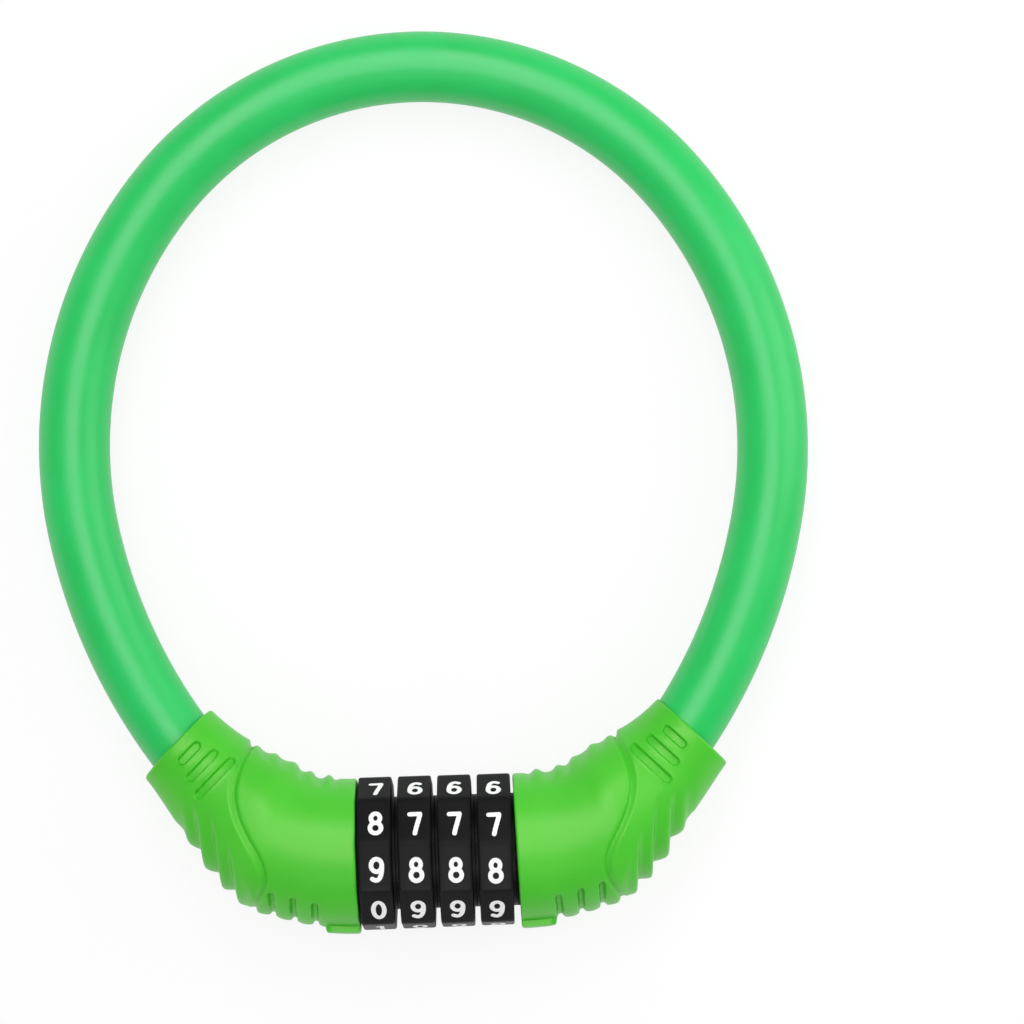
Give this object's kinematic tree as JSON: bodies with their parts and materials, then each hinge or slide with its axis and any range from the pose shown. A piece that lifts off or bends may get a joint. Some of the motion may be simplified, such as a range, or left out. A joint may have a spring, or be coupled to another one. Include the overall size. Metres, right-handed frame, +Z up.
{
  "type": "combination cable lock",
  "caption": "Combination cable lock for a bicycle: a stiff steel-cored cable hoop whose ends meet in a lock with number dials; one half pulls off when the code is set.",
  "frame": {"origin": "on the table, under the middle of the whole lock", "axes": "+X along the dial axis toward the half that pulls off, +Y from the lock toward the top of the hoop, +Z up from the table"},
  "size_m": [0.1298, 0.1522, 0.0254],
  "materials": {
    "cover": "satin moulded plastic, bright green",
    "sleeve": "glossy, slightly translucent PVC, blue-green",
    "dial": "satin black with white numerals",
    "collar": "black, matt",
    "zinc": "die-cast zinc, as cast",
    "plated_steel": "zinc-plated steel",
    "spring_steel": "drawn spring steel",
    "rope": "stranded galvanised wire",
    "brass_ring": "turned brass"
  },
  "bodies": {
    "lock_body": {"left_cover": "cover", "body_block": "zinc", "lock_barrel": "plated_steel", "barrel_end_plug": "plated_steel", "barrel_pin": "plated_steel", "pin_spring": "spring_steel", "detent_spring": "spring_steel", "end_collar": "collar", "body_ferrule": "plated_steel", "body_ferrule_pin": "plated_steel", "steel_rope": "rope", "cable_sleeve": "sleeve"},
    "dial_1": {"dial_1": "dial", "code_ring_1": "brass_ring"},
    "dial_2": {"dial_2": "dial", "code_ring_2": "brass_ring"},
    "dial_3": {"dial_3": "dial", "code_ring_3": "brass_ring"},
    "dial_4": {"dial_4": "dial", "code_ring_4": "brass_ring"},
    "plug": {"plug_cover": "cover", "plug_block": "zinc", "locking_pin": "plated_steel", "locking_pin_rivet": "plated_steel", "plug_ferrule": "plated_steel", "plug_ferrule_pin": "plated_steel"}
  },
  "joints": [
    {"name": "dial_1_turn", "type": "hinge", "parent": "lock_body", "child": "dial_1", "pos_m": [-0.0099, -0.06255, 0.01272], "axis": [1, 0, 0], "continuous": true},
    {"name": "dial_2_turn", "type": "hinge", "parent": "lock_body", "child": "dial_2", "pos_m": [-0.0033, -0.06255, 0.01272], "axis": [1, 0, 0], "continuous": true},
    {"name": "dial_3_turn", "type": "hinge", "parent": "lock_body", "child": "dial_3", "pos_m": [0.0033, -0.06255, 0.01272], "axis": [1, 0, 0], "continuous": true},
    {"name": "dial_4_turn", "type": "hinge", "parent": "lock_body", "child": "dial_4", "pos_m": [0.0099, -0.06255, 0.01272], "axis": [1, 0, 0], "continuous": true},
    {"name": "plug_slide", "type": "slide", "parent": "lock_body", "child": "plug", "axis": [1, 0, 0], "range_m": [0, 0.032], "deforming": ["cable_sleeve", "steel_rope", "pin_spring"]}
  ]
}
